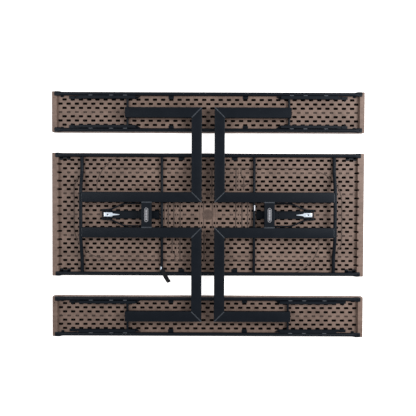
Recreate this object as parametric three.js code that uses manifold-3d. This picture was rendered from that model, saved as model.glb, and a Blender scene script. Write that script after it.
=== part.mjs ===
// Folding picnic table with two attached benches, folded flat and lying face down, as it is stored.
// Millimetres. +X runs along the boards, +Y across them and +Z out of the underside. The tabletop's and the
// seats' upper faces lie on z = 0. Pieces are drawn for the right-hand rear quarter, and mirroring groups
// place the others.
import * as THREE from "three";
import { mergeVertices } from "three/addons/utils/BufferGeometryUtils.js";
import Module from "manifold-3d";

const wasm = await Module();
wasm.setup();

// Moulded boards
const BOARD_LENGTH = 1830;
const TABLE_WIDTH = 724;
const SEAT_WIDTH = 238;
const BOARD_GAP = 120;
const SLAB = 28;
const RIM_HEIGHT = 45;
const TABLE_RIM = 37.5;
const SEAT_RIM = 29;
const SKIN = 2.5;
const BOARD_ROUNDING = 4;
const VENT_R = 3;
const VENT_X = 897;
const SEAT_VENT_Y = 79;
const TABLE_VENT_Y = 320.5;

// Clearance between neighbouring pieces
const GAP = 0.3;

// Side rails of round tube, flattened where they lie on the end rims
const RAIL_R = 11;
const RAIL_WALL = 1;
const RAIL_INSET = 14;
const RAIL_END = 894;
const RAIL_FLAT_X = 876;
const RAIL_ROUND_X = 850;
const FLAT_HALF_HEIGHT = 2.35;
const FLAT_HALF_WIDTH = 13.7;
const TAB_THICKNESS = 2.2;
const TAB_REACH = 16;
const SEAT_TAB_X = 218;
const SEAT_TAB_WIDTH = 31;
const TABLE_TAB_X = 157;
const TABLE_TAB_WIDTH = 34;
const END_TAB_X = 842;
const END_TAB_WIDTH = 64;
const END_TAB_REACH = 12;

// Leg frames of rectangular tube; their plane lies above the rails when folded
const LEG_WIDTH = 60;
const LEG_DEPTH = 30;
const LEG_WALL = 1.2;
const LEG_CORNER = 4;
const LEG_BOTTOM = 54;
const FLOOR_RAIL_X = 36.5;
const TABLE_LEG_Y = 73;
const FRAME_REACH = 622;
const BENCH_LEG_END = 481;
const BRIDGE_X = 357;

// Pivots
const PIVOT_X = 740;
const PIVOT_R = 10;
const PIVOT_WALL = 1.2;
const PIVOT_BEND_OUT = 255;
const PIVOT_BEND_IN = 145;
const PIN_R = 8.45;
const PIN_START = 300;
const COLLAR = 2.4;
const INNER_CROSS_X = 271;
const INNER_CROSS_R = 8;

// Bench slides
const BENCH_CROSS_X = 473;
const BENCH_CROSS_R = 6.5;
const CROSS_PIN_R = 4;
const GLIDE_BORE = 4.4;
const GLIDE_LENGTH = 30;
const GLIDE_HALF_HEIGHT = 9;
const TRACK_START = 425;
const TRACK_END = 757;
const TRACK_DEPTH = 17;
const TRACK_WALL = 1.5;
const TRACK_HALF_HEIGHT = 10.9;
const TRACK_TAB_END = 818;
const TRACK_SCREW_X = 785;
const SCREW_HOLE_R = 2.6;
const GUSSET_REACH = 30;
const GUSSET_DEPTH = 20;

// Brace: channel arm on the table, wishbone rod on the leg frame, lock lever on the arm
const WISHBONE_X = 355;
const WISHBONE_Z = 48.6;
const ROD_R = 4.5;
const ROD_HALF_SPREAD = 66;
const ROD_HALF_TIP = 28.3;
const ROD_BEND = 18;
const ROD_CLOSED_X = 576;
const ROD_SPREAD_X = 490;
const EYE_R = 6.5;
const ARM_HALF_WIDTH = 23;
const ARM_WALL = 2;
const ARM_BOTTOM = 29.3;
const ARM_TOP = 43;
const ARM_TIP = 8;
const WEB_START = 14;
const WEB_END = 12;
const LUG_Y = 40;
const LUG_HALF_WIDTH = 8;
const LEVER_PIVOT_X = 607;
const LEVER_PIVOT_Z = 37;
const LEVER_PIN_R = 3;
const LEVER_TOP = 46;
const LEVER_THICKNESS = 2;
const LEVER_HALF_WIDTH = 12;
const LEVER_PLATE_START = 563;
const LEVER_PLATE_END = 611;
const LEVER_TIP = 519;
const LEVER_HOLE_X = 588;
const LEVER_HOLE_R = 4.5;

// Storage strap and badge plates
const STRAP_WIDTH = 25;
const STRAP_THICKNESS = 1.6;
const STRAP_START = new THREE.Vector2(-269, -318);
const STRAP_END = new THREE.Vector2(-229, -403);
const BADGE_LENGTH = 82;
const BADGE_WIDTH = 22;
const BADGE_THICKNESS = 0.8;

const ROUND = 16;

// Derived places
const HALF_LENGTH = BOARD_LENGTH / 2;
const SEAT_Y = TABLE_WIDTH / 2 + BOARD_GAP + SEAT_WIDTH / 2;
const TABLE_RAIL_Y = TABLE_WIDTH / 2 - RAIL_INSET;
const SEAT_RAIL_Y = SEAT_WIDTH / 2 - RAIL_INSET;
const FRAME_Z = SLAB + GAP + RAIL_R;
const LEG_Z = LEG_BOTTOM + LEG_DEPTH / 2;
const CROSS_REACH = TABLE_RAIL_Y - RAIL_R - GAP - 0.1;
const PIVOT_REACH = CROSS_REACH - COLLAR - GAP;
const LEG_END = PIVOT_X - PIVOT_R - GAP;
const BRACE_POINT = braceJoint();

// The brace is straight when the frame stands: arm and rod then span from the inner cross tube to the
// wishbone's seat under the bridge. Returns the x of the joint between them when folded.
function braceJoint() {
  const rise = WISHBONE_Z - FRAME_Z;
  const standing = new THREE.Vector2(PIVOT_X + rise - INNER_CROSS_X, PIVOT_X - WISHBONE_X);
  const span = standing.length();
  const offset = WISHBONE_X - INNER_CROSS_X;
  const arm = (span ** 2 - offset ** 2 - rise ** 2) / (2 * (span - offset));
  return INNER_CROSS_X + arm;
}

// ---- Shapes ----

function closed(geometry) {
  geometry.deleteAttribute("normal");
  geometry.deleteAttribute("uv");
  return mergeVertices(geometry, 1e-3);
}

function solid(geometry) {
  const bare = closed(geometry);
  const mesh = new wasm.Mesh({
    numProp: 3,
    vertProperties: new Float32Array(bare.attributes.position.array),
    triVerts: new Uint32Array(bare.index.array),
  });
  return new wasm.Manifold(mesh);
}

function surface(made) {
  const mesh = made.getMesh();
  const geometry = new THREE.BufferGeometry();
  geometry.setAttribute("position", new THREE.BufferAttribute(mesh.vertProperties, 3));
  geometry.setIndex(new THREE.BufferAttribute(mesh.triVerts, 1));
  geometry.computeVertexNormals();
  return geometry;
}

// Joins the first group of shapes and cuts the second group from them.
function carved(joined, cut = []) {
  let made = solid(joined[0]);
  for (const piece of joined.slice(1)) made = made.add(solid(piece));
  for (const piece of cut) made = made.subtract(solid(piece));
  return surface(made);
}

function block(x0, x1, y0, y1, z0, z1) {
  const geometry = new THREE.BoxGeometry(Math.abs(x1 - x0), Math.abs(y1 - y0), Math.abs(z1 - z0));
  return geometry.translate((x0 + x1) / 2, (y0 + y1) / 2, (z0 + z1) / 2);
}

function barAlongY(radius, x, y0, y1, z, sides = ROUND) {
  const geometry = new THREE.CylinderGeometry(radius, radius, Math.abs(y1 - y0), sides);
  return geometry.translate(x, (y0 + y1) / 2, z);
}

function barAlongZ(radius, x, y, z0, z1, sides = 12) {
  const geometry = new THREE.CylinderGeometry(radius, radius, z1 - z0, sides);
  return geometry.rotateX(Math.PI / 2).translate(x, y, (z0 + z1) / 2);
}

function bothWays(stations) {
  return [...stations.map((s) => -s), ...stations.toReversed()];
}

// Open-ended round pipe along Y with rings at the stations.
function pipe(outer, wall, stations, sides = ROUND) {
  const outside = stations.map((s) => new THREE.Vector2(outer, s));
  const inside = stations.toReversed().map((s) => new THREE.Vector2(outer - wall, s));
  return closed(new THREE.LatheGeometry([...outside, ...inside, outside[0]], sides));
}

function reshape(geometry, move) {
  const place = geometry.attributes.position;
  const point = new THREE.Vector3();
  for (let i = 0; i < place.count; i++) {
    point.fromBufferAttribute(place, i);
    move(point);
    place.setXYZ(i, point.x, point.y, point.z);
  }
  geometry.computeVertexNormals();
  return geometry;
}

function roundedOutline(path, width, height, radius) {
  const x = width / 2 - radius;
  const y = height / 2 - radius;
  path.absarc(x, y, radius, 0, Math.PI / 2);
  path.absarc(-x, y, radius, Math.PI / 2, Math.PI);
  path.absarc(-x, -y, radius, Math.PI, 1.5 * Math.PI);
  path.absarc(x, -y, radius, 1.5 * Math.PI, 2 * Math.PI);
  return path;
}

function legSection() {
  const section = roundedOutline(new THREE.Shape(), LEG_WIDTH, LEG_DEPTH, LEG_CORNER);
  const inner = [LEG_WIDTH - 2 * LEG_WALL, LEG_DEPTH - 2 * LEG_WALL, LEG_CORNER - LEG_WALL];
  section.holes.push(roundedOutline(new THREE.Path(), ...inner));
  return closed(new THREE.ExtrudeGeometry(section, { depth: 1, bevelEnabled: false, curveSegments: 2 }));
}

// Rectangular tube along X, centred on y; start and end give its ends' x at each y, so ends can be mitred.
function beamAlongX(y, start, end) {
  return reshape(legSection(), (p) => {
    const across = y + p.x;
    p.set(p.z > 0.5 ? end(across) : start(across), across, LEG_Z + p.y);
  });
}

// The same along Y, centred on x.
function beamAlongY(x, start, end) {
  return reshape(legSection(), (p) => {
    const across = x - p.x;
    p.set(across, p.z > 0.5 ? end(across) : start(across), LEG_Z + p.y);
  });
}

// ---- Moulded boards ----

// Side view of a board, drawn in from its surface: a slab with a raised rim at each end.
function boardOutline(rim, inset) {
  const end = HALF_LENGTH - inset;
  const step = HALF_LENGTH - rim + inset;
  const outline = new THREE.Shape();
  outline.moveTo(-end, inset);
  outline.lineTo(end, inset);
  outline.lineTo(end, RIM_HEIGHT - inset);
  outline.lineTo(step, RIM_HEIGHT - inset);
  outline.lineTo(step, SLAB - inset);
  outline.lineTo(-step, SLAB - inset);
  outline.lineTo(-step, RIM_HEIGHT - inset);
  outline.lineTo(-end, RIM_HEIGHT - inset);
  return outline;
}

function boardSolid(width, rim, inset, rounding) {
  const geometry = new THREE.ExtrudeGeometry(boardOutline(rim, inset), {
    depth: width - 2 * inset - 2 * rounding,
    bevelEnabled: rounding > 0,
    bevelThickness: rounding,
    bevelSize: rounding,
    bevelOffset: -rounding,
    bevelSegments: 3,
  });
  geometry.rotateX(Math.PI / 2);
  return geometry.translate(0, width / 2 - inset - rounding, 0);
}

function board(width, rim, ventY) {
  const vent = barAlongZ(VENT_R, -VENT_X, ventY, RIM_HEIGHT - 2 * SKIN, RIM_HEIGHT + SKIN);
  return carved([boardSolid(width, rim, 0, BOARD_ROUNDING)], [boardSolid(width, rim, SKIN, 0), vent]);
}

// ---- Rails and cross tubes ----

function tab(x, width, reach) {
  const bottom = SLAB + GAP - FRAME_Z;
  return block(x - width / 2, x + width / 2, -RAIL_R - reach, -3, bottom, bottom + TAB_THICKNESS);
}

// Round rail along X about its own centre line, with mounting tabs towards the board's middle. Its ends are
// pressed flat and lifted on to the rims.
function sideRail(tabs) {
  const lift = RIM_HEIGHT + GAP + FLAT_HALF_HEIGHT - FRAME_Z;
  const stations = [RAIL_END, RAIL_FLAT_X, (RAIL_FLAT_X + RAIL_ROUND_X) / 2, RAIL_ROUND_X];
  const tube = pipe(RAIL_R, RAIL_WALL, bothWays(stations), 12).rotateZ(-Math.PI / 2);
  reshape(tube, (p) => {
    const flat = THREE.MathUtils.smoothstep(Math.abs(p.x), RAIL_ROUND_X, RAIL_FLAT_X);
    const radius = Math.hypot(p.y, p.z);
    const inset = RAIL_R - radius;
    p.y *= THREE.MathUtils.lerp(1, (FLAT_HALF_WIDTH - inset) / radius, flat);
    p.z *= THREE.MathUtils.lerp(1, (FLAT_HALF_HEIGHT - inset) / radius, flat);
    p.z += lift * flat;
  });
  return carved([tube, ...tabs]);
}

function seatRail() {
  return sideRail([-1, 1].map((end) => tab(end * SEAT_TAB_X, SEAT_TAB_WIDTH, TAB_REACH)));
}

function tableRail() {
  const tabs = [-1, 1].flatMap((end) => [
    tab(end * TABLE_TAB_X, TABLE_TAB_WIDTH, TAB_REACH),
    tab(end * END_TAB_X, END_TAB_WIDTH, END_TAB_REACH),
  ]);
  return sideRail(tabs);
}

function innerCrossTube() {
  return pipe(INNER_CROSS_R, 1, bothWays([CROSS_REACH])).translate(INNER_CROSS_X, 0, FRAME_Z);
}

// Cranked tube: its ends turn on the pivot axis, and its middle stands out to the leg frame's plane.
function pivotTube() {
  const soften = 8;
  const bends = [PIVOT_BEND_OUT, PIVOT_BEND_IN].flatMap((bend) => [bend + soften, bend - soften]);
  const tube = pipe(PIVOT_R, PIVOT_WALL, bothWays([PIVOT_REACH, ...bends]));
  return reshape(tube, (p) => {
    const slant = (PIVOT_BEND_OUT - Math.abs(p.y)) / (PIVOT_BEND_OUT - PIVOT_BEND_IN);
    const crank = (LEG_Z - FRAME_Z) * THREE.MathUtils.clamp(slant, 0, 1);
    p.set(PIVOT_X + p.x, p.y, FRAME_Z + p.z + crank);
  });
}

function pivotPin() {
  const collarStart = PIVOT_REACH + GAP;
  const profile = [
    new THREE.Vector2(0, PIN_START),
    new THREE.Vector2(PIN_R, PIN_START),
    new THREE.Vector2(PIN_R, collarStart),
    new THREE.Vector2(PIVOT_R, collarStart),
    new THREE.Vector2(PIVOT_R, CROSS_REACH),
    new THREE.Vector2(0, CROSS_REACH),
  ];
  return closed(new THREE.LatheGeometry(profile, ROUND)).translate(PIVOT_X, 0, FRAME_Z);
}

// ---- Leg frame ----

const MITRE_GAP = 0.25;

function tableLeg() {
  const start = (y) => FLOOR_RAIL_X + y - TABLE_LEG_Y + MITRE_GAP;
  return beamAlongX(TABLE_LEG_Y + LEG_WIDTH / 2, start, () => LEG_END);
}

function floorRail() {
  const start = (x) => TABLE_LEG_Y + x - FLOOR_RAIL_X + MITRE_GAP;
  const end = (x) => FRAME_REACH - (x - FLOOR_RAIL_X) - MITRE_GAP;
  return beamAlongY(FLOOR_RAIL_X + LEG_WIDTH / 2, start, end);
}

function benchLeg() {
  const start = (y) => FLOOR_RAIL_X + FRAME_REACH - y + MITRE_GAP;
  return beamAlongX(FRAME_REACH - LEG_WIDTH / 2, start, () => BENCH_LEG_END);
}

// Crosspiece between the two table legs, with two lugs that hold the wishbone rod under it.
function bridge() {
  const reach = TABLE_LEG_Y - GAP;
  const tube = beamAlongY(BRIDGE_X, () => -reach, () => reach);
  const lugs = [-1, 1].map((end) =>
    block(
      WISHBONE_X - LUG_HALF_WIDTH,
      WISHBONE_X + LUG_HALF_WIDTH,
      end * (LUG_Y - 1.5),
      end * (LUG_Y + 1.5),
      WISHBONE_Z - ROD_R - 2.5,
      LEG_BOTTOM + LEG_WALL / 2,
    ),
  );
  return carved([tube, ...lugs], [barAlongY(ROD_R + 0.7, WISHBONE_X, -60, 60, WISHBONE_Z)]);
}

function badge() {
  const outline = new THREE.Shape();
  const straight = (BADGE_LENGTH - BADGE_WIDTH) / 2;
  outline.absarc(0, straight, BADGE_WIDTH / 2, 0, Math.PI);
  outline.absarc(0, -straight, BADGE_WIDTH / 2, Math.PI, 2 * Math.PI);
  const plate = new THREE.ExtrudeGeometry(outline, {
    depth: BADGE_THICKNESS,
    bevelEnabled: false,
    curveSegments: 5,
  });
  return closed(plate).translate(BRIDGE_X, 0, LEG_BOTTOM + LEG_DEPTH + GAP);
}

// Rod across one bench end, about the bench's centre line, with a saddle under the bench leg and a thin
// pin at each end for a glide.
function benchCrossTube() {
  const shoulder = SEAT_RAIL_Y - RAIL_R - TRACK_DEPTH - GAP;
  const tip = SEAT_RAIL_Y - RAIL_R - TRACK_WALL - 1.3;
  const legMiddle = FRAME_REACH - LEG_WIDTH / 2 - SEAT_Y;
  const saddle = block(
    BENCH_CROSS_X - 15,
    BENCH_CROSS_X + 7,
    legMiddle - 20,
    legMiddle + 20,
    FRAME_Z,
    LEG_BOTTOM - GAP,
  );
  return carved([
    barAlongY(BENCH_CROSS_R, BENCH_CROSS_X, -shoulder, shoulder, FRAME_Z),
    barAlongY(CROSS_PIN_R, BENCH_CROSS_X, -tip, tip, FRAME_Z),
    saddle,
  ]);
}

// ---- Bench slides ----

function glide() {
  const start = BENCH_CROSS_X - GLIDE_LENGTH / 2;
  const inner = SEAT_RAIL_Y - RAIL_R - TRACK_DEPTH + 0.3;
  const outer = SEAT_RAIL_Y - RAIL_R - TRACK_WALL - 0.8;
  const bottom = FRAME_Z - GLIDE_HALF_HEIGHT;
  return carved(
    [block(start, start + GLIDE_LENGTH, inner, outer, bottom, FRAME_Z + GLIDE_HALF_HEIGHT)],
    [barAlongY(GLIDE_BORE, BENCH_CROSS_X, inner - 1, outer + 1, FRAME_Z)],
  );
}

// C-channel along the rail, open towards the bench's middle, with a screw tab at each end.
function track() {
  const back = SEAT_RAIL_Y - RAIL_R - 0.5;
  const mouth = SEAT_RAIL_Y - RAIL_R - TRACK_DEPTH;
  const bottom = FRAME_Z - TRACK_HALF_HEIGHT;
  const top = FRAME_Z + TRACK_HALF_HEIGHT;
  const gusset = new THREE.Shape();
  gusset.moveTo(TRACK_START - GUSSET_REACH, back);
  gusset.lineTo(TRACK_START + TRACK_WALL, back);
  gusset.lineTo(TRACK_START + TRACK_WALL, back - GUSSET_DEPTH);
  const gussetPlate = new THREE.ExtrudeGeometry(gusset, { depth: TRACK_WALL, bevelEnabled: false });
  return carved(
    [
      block(TRACK_START, TRACK_END, back - TRACK_WALL, back, bottom, top),
      block(TRACK_START, TRACK_TAB_END, mouth, back, bottom, bottom + TRACK_WALL),
      block(TRACK_START, TRACK_END, mouth, back, top - TRACK_WALL, top),
      gussetPlate.translate(0, 0, bottom),
    ],
    [barAlongZ(SCREW_HOLE_R, TRACK_SCREW_X, (mouth + back) / 2, bottom - 1, bottom + TRACK_WALL + 1)],
  );
}

// ---- Brace ----

// Channel arm, open away from the board. Its ears turn on the inner cross tube, and a rivet near its tip
// carries the lock lever.
function braceArm() {
  const tip = BRACE_POINT + ARM_TIP;
  const walls = [-1, 1].flatMap((end) => {
    const inner = end * (ARM_HALF_WIDTH - ARM_WALL);
    const outer = end * ARM_HALF_WIDTH;
    return [
      barAlongY(RAIL_R, INNER_CROSS_X, inner, outer, FRAME_Z),
      block(INNER_CROSS_X, tip, inner, outer, ARM_BOTTOM, ARM_TOP),
    ];
  });
  const web = block(
    INNER_CROSS_X + WEB_START,
    BRACE_POINT - WEB_END,
    -ARM_HALF_WIDTH + 0.5,
    ARM_HALF_WIDTH - 0.5,
    ARM_BOTTOM,
    ARM_BOTTOM + ARM_WALL,
  );
  const inside = ARM_HALF_WIDTH - ARM_WALL / 2;
  const rivets = [
    barAlongY(LEVER_PIN_R, LEVER_PIVOT_X, -inside, inside, LEVER_PIVOT_Z, 12),
    barAlongY(LEVER_PIN_R, BRACE_POINT, -inside, inside, FRAME_Z - 2, 12),
  ];
  const side = ARM_HALF_WIDTH + 1;
  const bore = barAlongY(INNER_CROSS_R + 0.4, INNER_CROSS_X, -side, side, FRAME_Z);
  return carved([...walls, web, ...rivets], [bore]);
}

// A path of straight runs with its corners rounded off.
function bentPath(points, radius) {
  const path = new THREE.CurvePath();
  let from = points[0];
  for (let i = 1; i < points.length - 1; i++) {
    const corner = points[i];
    const into = corner.clone().sub(points[i - 1]).setLength(radius);
    const out = points[i + 1].clone().sub(corner).setLength(radius);
    const start = corner.clone().sub(into);
    const end = corner.clone().add(out);
    path.add(new THREE.LineCurve3(from, start));
    path.add(new THREE.QuadraticBezierCurve3(start, corner, end));
    from = end;
  }
  path.add(new THREE.LineCurve3(from, points.at(-1)));
  return path;
}

// One bent rod: its middle turns in the bridge's lugs, its two sides run beside the table legs and close in
// on the arm, and a flat eye ends each.
function wishbone() {
  const side = [
    new THREE.Vector3(BRACE_POINT, ROD_HALF_TIP, FRAME_Z),
    new THREE.Vector3(ROD_CLOSED_X, ROD_HALF_TIP, FRAME_Z + 1.6),
    new THREE.Vector3(ROD_SPREAD_X, ROD_HALF_SPREAD, WISHBONE_Z - 2),
    new THREE.Vector3(WISHBONE_X, ROD_HALF_SPREAD, WISHBONE_Z),
  ];
  const otherSide = side.toReversed().map((p) => new THREE.Vector3(p.x, -p.y, p.z));
  const section = new THREE.Shape().absarc(0, 0, ROD_R, 0, 2 * Math.PI);
  const rod = new THREE.ExtrudeGeometry(section, {
    steps: 46,
    curveSegments: 4,
    extrudePath: bentPath([...side, ...otherSide], ROD_BEND),
  });
  const eyes = [-1, 1].map((end) =>
    barAlongY(EYE_R, BRACE_POINT, end * (ARM_HALF_WIDTH + 0.6), end * (ROD_HALF_TIP + 1), FRAME_Z, 12),
  );
  return carved([rod, ...eyes]);
}

// Zinc lever: a plate with a finger hole, a pointed tongue and two lugs on the arm's rivet.
function lockLever() {
  const outline = new THREE.Shape();
  outline.moveTo(LEVER_PLATE_END, -LEVER_HALF_WIDTH);
  outline.lineTo(LEVER_PLATE_END, LEVER_HALF_WIDTH);
  outline.lineTo(LEVER_PLATE_START, LEVER_HALF_WIDTH);
  outline.lineTo(LEVER_PLATE_START - 4, LEVER_HALF_WIDTH / 2);
  outline.lineTo(LEVER_TIP, 1.5);
  outline.lineTo(LEVER_TIP, -1.5);
  outline.lineTo(LEVER_PLATE_START - 4, -LEVER_HALF_WIDTH / 2);
  outline.lineTo(LEVER_PLATE_START, -LEVER_HALF_WIDTH);
  const plate = new THREE.ExtrudeGeometry(outline, { depth: LEVER_THICKNESS, bevelEnabled: false });
  const lugs = [-1, 1].map((end) =>
    block(
      LEVER_PIVOT_X - 8,
      LEVER_PLATE_END,
      end * LEVER_HALF_WIDTH,
      end * (LEVER_HALF_WIDTH - LEVER_THICKNESS),
      LEVER_PIVOT_Z - 4,
      LEVER_TOP - LEVER_THICKNESS / 2,
    ),
  );
  return carved(
    [plate.translate(0, 0, LEVER_TOP - LEVER_THICKNESS), ...lugs],
    [
      barAlongZ(LEVER_HOLE_R, LEVER_HOLE_X, 0, LEVER_TOP - 5, LEVER_TOP + 5),
      barAlongY(LEVER_PIN_R + 0.3, LEVER_PIVOT_X, -20, 20, LEVER_PIVOT_Z, 12),
    ],
  );
}

// ---- Strap ----

// Webbing tail from the inner cross tube over the table's rail, falling into the gap beside it.
function strap() {
  const heading = STRAP_END.clone().sub(STRAP_START);
  const run = heading.length();
  const over = FRAME_Z + RAIL_R + 1.2;
  const top = new THREE.CatmullRomCurve3([
    new THREE.Vector3(0, over - 2, 0),
    new THREE.Vector3(run * 0.36, over + STRAP_THICKNESS, 0),
    new THREE.Vector3(run * 0.62, over - 2, 0),
    new THREE.Vector3(run * 0.85, over - 20, 0),
    new THREE.Vector3(run, over - 36, 0),
  ]).getPoints(12);
  const down = top.map((p, i) => {
    const along = (top[i + 1] ?? p).clone().sub(top[i - 1] ?? p).setLength(STRAP_THICKNESS);
    return new THREE.Vector2(p.x + along.y, p.y - along.x);
  });
  const band = new THREE.Shape([...top.map((p) => new THREE.Vector2(p.x, p.y)), ...down.reverse()]);
  const geometry = closed(new THREE.ExtrudeGeometry(band, { depth: STRAP_WIDTH, bevelEnabled: false }));
  geometry.translate(0, 0, -STRAP_WIDTH / 2).rotateX(Math.PI / 2);
  return geometry.rotateZ(heading.angle()).translate(STRAP_START.x, STRAP_START.y, 0);
}

// ---- Assembly ----

const FINISHES = {
  moulding: { color: 0x8f7a6d, roughness: 0.55, metalness: 0 },
  powder_coat: { color: 0x23272d, roughness: 0.4, metalness: 0.1 },
  zinc: { color: 0xc4ccd4, roughness: 0.35, metalness: 0.9 },
  nylon: { color: 0x17181a, roughness: 0.5, metalness: 0 },
  webbing: { color: 0x141416, roughness: 0.9, metalness: 0 },
  badge_foil: { color: 0xb9bac0, roughness: 0.4, metalness: 0.3 },
};

function piece(parent, name, geometry, finish, x = 0, y = 0, z = 0) {
  const mesh = new THREE.Mesh(geometry, new THREE.MeshStandardMaterial(FINISHES[finish]));
  mesh.name = name;
  mesh.position.set(x, y, z);
  parent.add(mesh);
  return mesh;
}

function mirrored(parent, x, y, shift = 0) {
  const group = new THREE.Group();
  group.scale.set(x, y, 1);
  group.position.y = shift;
  parent.add(group);
  return group;
}

const SIDES = { right: 1, left: -1 };
const ROWS = { rear: 1, front: -1 };
const RAIL_SIDES = { outer: 1, inner: -1 };

const group = new THREE.Group();
piece(group, "tabletop", board(TABLE_WIDTH, TABLE_RIM, TABLE_VENT_Y), "moulding");
piece(group, "storage_strap", strap(), "webbing");

for (const [side, x] of Object.entries(SIDES)) {
  const half = mirrored(group, x, 1);
  piece(half, `${side}_inner_cross_tube`, innerCrossTube(), "powder_coat");
  piece(half, `${side}_pivot_tube`, pivotTube(), "powder_coat");
  piece(half, `${side}_bridge`, bridge(), "powder_coat");
  piece(half, `${side}_badge`, badge(), "badge_foil");
  piece(half, `${side}_brace_arm`, braceArm(), "powder_coat");
  piece(half, `${side}_wishbone`, wishbone(), "powder_coat");
  piece(half, `${side}_lock_lever`, lockLever(), "zinc");
  for (const [row, y] of Object.entries(ROWS)) {
    const quarter = mirrored(half, 1, y);
    piece(quarter, `${side}_${row}_pivot_pin`, pivotPin(), "zinc");
    piece(quarter, `${side}_${row}_table_leg`, tableLeg(), "powder_coat");
    piece(quarter, `${side}_${row}_floor_rail`, floorRail(), "powder_coat");
    piece(quarter, `${side}_${row}_bench_leg`, benchLeg(), "powder_coat");
    piece(quarter, `${side}_${row}_bench_cross_tube`, benchCrossTube(), "powder_coat", 0, SEAT_Y);
  }
}

for (const [row, y] of Object.entries(ROWS)) {
  const strip = mirrored(group, 1, y);
  piece(strip, `${row}_table_rail`, tableRail(), "powder_coat", 0, TABLE_RAIL_Y, FRAME_Z);
  piece(strip, `${row}_seat`, board(SEAT_WIDTH, SEAT_RIM, y * SEAT_VENT_Y), "moulding", 0, SEAT_Y);
  for (const [edge, out] of Object.entries(RAIL_SIDES)) {
    const rail = mirrored(strip, 1, out, SEAT_Y);
    piece(rail, `${row}_seat_${edge}_rail`, seatRail(), "powder_coat", 0, SEAT_RAIL_Y, FRAME_Z);
    for (const [side, x] of Object.entries(SIDES)) {
      const end = mirrored(rail, x, 1);
      piece(end, `${side}_${row}_${edge}_track`, track(), "powder_coat");
      piece(end, `${side}_${row}_${edge}_glide`, glide(), "nylon");
    }
  }
}

export default group;
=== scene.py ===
# Folding picnic table with two benches, folded flat with its underside up.
# Metres, in the frame of the CAD model.
import math
from contextlib import contextmanager

import bmesh
import bpy
from mathutils import Matrix, Vector


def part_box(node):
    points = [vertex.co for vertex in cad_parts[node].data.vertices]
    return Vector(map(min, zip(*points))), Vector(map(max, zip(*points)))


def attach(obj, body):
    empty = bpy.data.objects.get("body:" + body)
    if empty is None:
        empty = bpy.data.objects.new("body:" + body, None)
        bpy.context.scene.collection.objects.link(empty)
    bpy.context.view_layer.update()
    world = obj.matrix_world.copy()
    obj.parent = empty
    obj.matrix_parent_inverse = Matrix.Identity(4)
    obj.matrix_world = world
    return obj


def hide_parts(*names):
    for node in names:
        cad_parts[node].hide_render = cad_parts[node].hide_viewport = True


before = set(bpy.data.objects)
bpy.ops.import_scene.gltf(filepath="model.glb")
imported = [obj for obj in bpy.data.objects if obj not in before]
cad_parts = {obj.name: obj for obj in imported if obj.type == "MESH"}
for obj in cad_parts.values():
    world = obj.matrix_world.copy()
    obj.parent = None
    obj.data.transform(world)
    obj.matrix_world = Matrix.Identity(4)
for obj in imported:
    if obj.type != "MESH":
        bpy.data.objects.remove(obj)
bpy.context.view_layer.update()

SIDES = {"right": 1, "left": -1}
ROWS = {"rear": 1, "front": -1}
EDGES = {"outer": 1, "inner": -1}
HAIR = 1e-5

# ---- Sizes ----
table_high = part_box("tabletop")[1]
seat_low, seat_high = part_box("rear_seat")
leg_low, leg_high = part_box("right_rear_table_leg")
HALF_LENGTH = table_high.x
TABLE_HALF = table_high.y
SEAT_HALF = (seat_high.y - seat_low.y) / 2
SEAT_Y = (seat_high.y + seat_low.y) / 2
RIM_TOP = table_high.z
LEG_TOP, LEG_BOTTOM = leg_high.z, leg_low.z

# Boards: slab, end rims, and the field of pits
SLAB = 0.028
TABLE_RIM_X = 0.8775
SEAT_RIM_X = 0.886
SEAT_FIELD_END = 0.884
BOARD_ROUNDING = 0.004
ROW_PITCH = 0.02465
TABLE_PITCH = 0.0462
SEAT_PITCH = 0.0483
TABLE_ROWS = 13
SEAT_ROWS = 3
PITS_ALONG = 19
PIT_LENGTH = 0.0270
PIT_WIDTH = 0.0142
PIT_KINDS = {  # size, then the drop to the lip, the shoulder and the floor
    "deep": (1, 0.0030, 0.0030, 0.012),
    "shallow": (0.85, 0.0012, 0.0006, 0.0008),
}
PIT_EDGE = 0.0004
PIT_SHADE = 0.0035
POCKET_X = 0.8663
POCKET_R = 0.0078
POCKET_FLOOR = -0.018
POCKET_HEIGHT = 0.06
VENT_X = -0.902
TABLE_VENT_Y = 0.3175
SEAT_VENT_Y = 0.0795

# Tubes and rails. Seat rails are measured from the seat's centre line.
RAIL_R = 0.011
RAIL_Z = 0.0393
RAIL_LIFT = 0.00835
TABLE_RAIL_Y = 0.348
SEAT_RAIL_Y = 0.105
INNER_CROSS_X = 0.271
PIVOT_X = 0.740
TUBE_WALL = 0.0012
MITRE_GAP = 0.0002
FLOOR_RAIL_X = 0.0365
LEG_Y = 0.073
CORNER_Y = 0.622
WELD_Z = LEG_TOP - 0.0012
TAB_BOTTOM, TAB_TOP = 0.0283, 0.0305
TRACK_TAB_TOP = 0.0299
RAIL_END_TOP = 0.0500

# ---- Working by hand ----


def only(*objects):
    """Selects these objects alone."""
    bpy.ops.object.select_all(action="DESELECT")
    for each in objects:
        each.select_set(True)
    bpy.context.view_layer.objects.active = objects[0]


@contextmanager
def editing(piece):
    """Edit mode on one piece, with all of it selected."""
    only(piece)
    bpy.ops.object.mode_set(mode="EDIT")
    bpy.ops.mesh.select_all(action="SELECT")
    yield
    bpy.ops.object.mode_set(mode="OBJECT")


def middle(part):
    """The middle of a vertex, edge or face."""
    if isinstance(part, bmesh.types.BMVert):
        return part.co
    return sum((v.co for v in part.verts), Vector()) / len(part.verts)


def pick(kind, test):
    """Selects the vertices, edges or faces that pass the test, and nothing else."""
    bpy.ops.mesh.select_mode(type=kind)
    bpy.ops.mesh.select_all(action="DESELECT")
    mesh = bpy.context.edit_object.data
    shape = bmesh.from_edit_mesh(mesh)
    parts = {"VERT": shape.verts, "EDGE": shape.edges, "FACE": shape.faces}[kind]
    for part in parts:
        if test(part):
            part.select_set(True)
    shape.select_flush_mode()
    bmesh.update_edit_mesh(mesh)


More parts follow.
